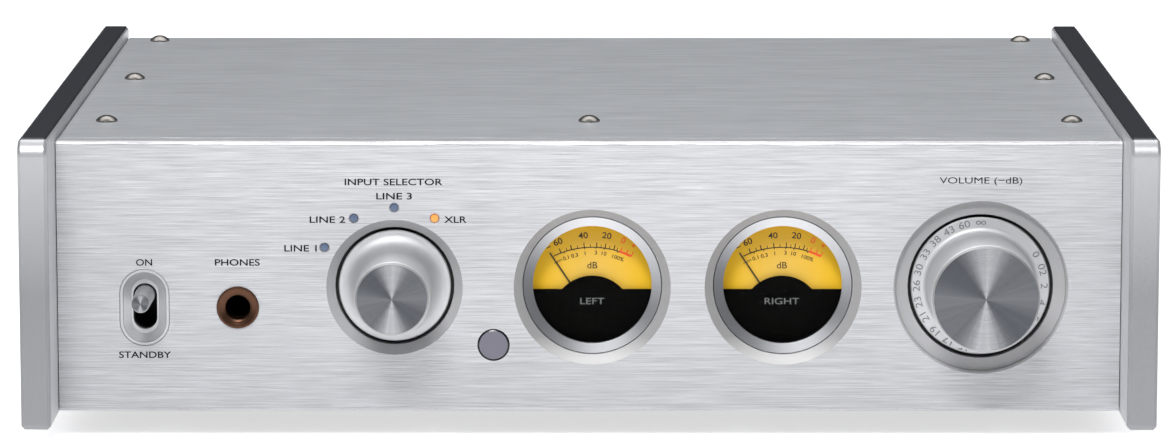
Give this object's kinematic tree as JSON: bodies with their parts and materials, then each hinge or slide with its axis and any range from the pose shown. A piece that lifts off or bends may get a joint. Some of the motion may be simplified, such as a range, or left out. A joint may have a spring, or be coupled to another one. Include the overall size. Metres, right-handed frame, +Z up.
{
  "type": "stereo power amplifier",
  "caption": "Compact silver stereo amplifier: brushed box between thick side plates, with needle meters, input selector, volume knob, power toggle and headphone socket.",
  "frame": {"origin": "on the floor under the middle of the bounding box, posts included", "axes": "+Z up, front faces -Y, +X to the right seen from the front"},
  "size_m": [0.29, 0.264, 0.0812],
  "materials": {
    "amplifier_board": "green circuit board with parts",
    "chassis_fixings": "zinc plated",
    "chassis_tray": "satin black",
    "foot_bodies": "black moulding",
    "foot_pads": "soft black ring",
    "foot_screws": "zinc plated",
    "front_panel": "brushed along X, clear anodised",
    "front_subpanel": "satin black",
    "heat_sink": "black anodised",
    "inlet_pins": "nickel plated",
    "input_board": "green circuit board with socket block",
    "input_lamp_lit": "light guide, lit orange",
    "input_lamps": "clear moulded light guides",
    "mains_inlet": "black moulding",
    "meter_bezels": "polished",
    "meter_cases": "black moulding with magnet",
    "meter_covers": "matt black",
    "meter_dials": "printed amber card, backlit",
    "meter_lenses": "clear",
    "meter_needle_left": "matt black",
    "meter_needle_right": "matt black",
    "phones_jack": "black moulding",
    "phones_ring": "copper plated",
    "post_cap_left_minus": "clear black over metal",
    "post_cap_left_plus": "clear red over metal",
    "post_cap_right_minus": "clear black over metal",
    "post_cap_right_plus": "clear red over metal",
    "post_insulators": "black moulding",
    "post_stems": "gold plated",
    "power_lever": "turned and anodised",
    "power_supply_board": "green circuit board with parts",
    "power_switch_bezel": "satin anodised",
    "power_switch_body": "black moulding",
    "rca_barrels": "gold plated",
    "rca_inserts_left": "white moulding",
    "rca_inserts_right": "red moulding",
    "rear_panel": "satin black",
    "rear_panel_screws": "black zinc",
    "remote_window": "tinted, smooth",
    "reservoir_capacitors": "sleeved cans",
    "selector_board": "green circuit board with parts",
    "selector_encoder": "moulded body, plated nut",
    "selector_knob": "turned, satin skirt and spun face",
    "selector_shaft": "ground",
    "side_plate_left": "fine bead-blasted anodising",
    "side_plate_right": "fine bead-blasted anodising",
    "side_plate_screws": "zinc plated",
    "top_brace": "satin black",
    "top_cover": "brushed along X, clear anodised",
    "top_cover_screws": "nickel plated",
    "transformer": "wound core under yellow tape",
    "transformer_clamp": "zinc plated",
    "transformer_pads": "sheet",
    "volume_knob": "turned, satin skirt and spun face",
    "volume_pot": "plated can, gearbox and motor",
    "volume_shaft": "ground",
    "xlr_inserts": "black moulding",
    "xlr_latch_left": "moulded push tab",
    "xlr_latch_right": "moulded push tab",
    "xlr_sockets": "black moulding"
  },
  "bodies": {
    "chassis": {"amplifier_board": "amplifier_board", "chassis_fixings": "chassis_fixings", "chassis_tray": "chassis_tray", "foot_bodies": "foot_bodies", "foot_pads": "foot_pads", "foot_screws": "foot_screws", "front_panel": "front_panel", "front_subpanel": "front_subpanel", "heat_sink": "heat_sink", "inlet_pins": "inlet_pins", "input_board": "input_board", "input_lamp_lit": "input_lamp_lit", "input_lamps": "input_lamps", "mains_inlet": "mains_inlet", "meter_bezels": "meter_bezels", "meter_cases": "meter_cases", "meter_covers": "meter_covers", "meter_dials": "meter_dials", "meter_lenses": "meter_lenses", "phones_jack": "phones_jack", "phones_ring": "phones_ring", "post_insulators": "post_insulators", "post_stems": "post_stems", "power_supply_board": "power_supply_board", "power_switch_bezel": "power_switch_bezel", "power_switch_body": "power_switch_body", "rca_barrels": "rca_barrels", "rca_inserts_left": "rca_inserts_left", "rca_inserts_right": "rca_inserts_right", "rear_panel": "rear_panel", "rear_panel_screws": "rear_panel_screws", "remote_window": "remote_window", "reservoir_capacitors": "reservoir_capacitors", "selector_board": "selector_board", "selector_encoder": "selector_encoder", "side_plate_left": "side_plate_left", "side_plate_right": "side_plate_right", "side_plate_screws": "side_plate_screws", "top_brace": "top_brace", "top_cover": "top_cover", "top_cover_screws": "top_cover_screws", "transformer": "transformer", "transformer_clamp": "transformer_clamp", "transformer_pads": "transformer_pads", "volume_pot": "volume_pot", "xlr_inserts": "xlr_inserts", "xlr_sockets": "xlr_sockets"},
    "power_lever": {"power_lever": "power_lever"},
    "selector": {"selector_knob": "selector_knob", "selector_shaft": "selector_shaft"},
    "volume": {"volume_knob": "volume_knob", "volume_shaft": "volume_shaft"},
    "needle_left": {"meter_needle_left": "meter_needle_left"},
    "needle_right": {"meter_needle_right": "meter_needle_right"},
    "post_cap_left_plus": {"post_cap_left_plus": "post_cap_left_plus"},
    "post_cap_left_minus": {"post_cap_left_minus": "post_cap_left_minus"},
    "post_cap_right_minus": {"post_cap_right_minus": "post_cap_right_minus"},
    "post_cap_right_plus": {"post_cap_right_plus": "post_cap_right_plus"},
    "latch_left": {"xlr_latch_left": "xlr_latch_left"},
    "latch_right": {"xlr_latch_right": "xlr_latch_right"}
  },
  "joints": [
    {"name": "power_switch", "type": "slide", "parent": "chassis", "child": "power_lever", "axis": [0, 0, 1], "range_m": [-0.006, 0]},
    {"name": "selector_turn", "type": "hinge", "parent": "chassis", "child": "selector", "pos_m": [-0.05025, -0.11, 0.0397], "axis": [0, 1, 0], "continuous": true},
    {"name": "volume_turn", "type": "hinge", "parent": "chassis", "child": "volume", "pos_m": [0.10125, -0.11, 0.0397], "axis": [0, 1, 0], "range_deg": [0, 300]},
    {"name": "needle_left_swing", "type": "hinge", "parent": "chassis", "child": "needle_left", "pos_m": [0.00085, -0.11, 0.0308], "axis": [0, 1, 0], "range_deg": [0, 70], "stiffness_Nm_per_rad": 0.00002},
    {"name": "needle_right_swing", "type": "hinge", "parent": "chassis", "child": "needle_right", "pos_m": [0.05015, -0.11, 0.0308], "axis": [0, 1, 0], "range_deg": [0, 70], "stiffness_Nm_per_rad": 0.00002},
    {"name": "post_cap_left_plus_unscrew", "type": "slide", "parent": "chassis", "child": "post_cap_left_plus", "axis": [0, 1, 0], "range_m": [0, 0.004]},
    {"name": "post_cap_left_minus_unscrew", "type": "slide", "parent": "chassis", "child": "post_cap_left_minus", "axis": [0, 1, 0], "range_m": [0, 0.004]},
    {"name": "post_cap_right_minus_unscrew", "type": "slide", "parent": "chassis", "child": "post_cap_right_minus", "axis": [0, 1, 0], "range_m": [0, 0.004]},
    {"name": "post_cap_right_plus_unscrew", "type": "slide", "parent": "chassis", "child": "post_cap_right_plus", "axis": [0, 1, 0], "range_m": [0, 0.004]},
    {"name": "latch_left_push", "type": "slide", "parent": "chassis", "child": "latch_left", "axis": [0, -1, 0], "range_m": [0, 0.0012], "stiffness_N_per_m": 600},
    {"name": "latch_right_push", "type": "slide", "parent": "chassis", "child": "latch_right", "axis": [0, -1, 0], "range_m": [0, 0.0012], "stiffness_N_per_m": 600}
  ]
}
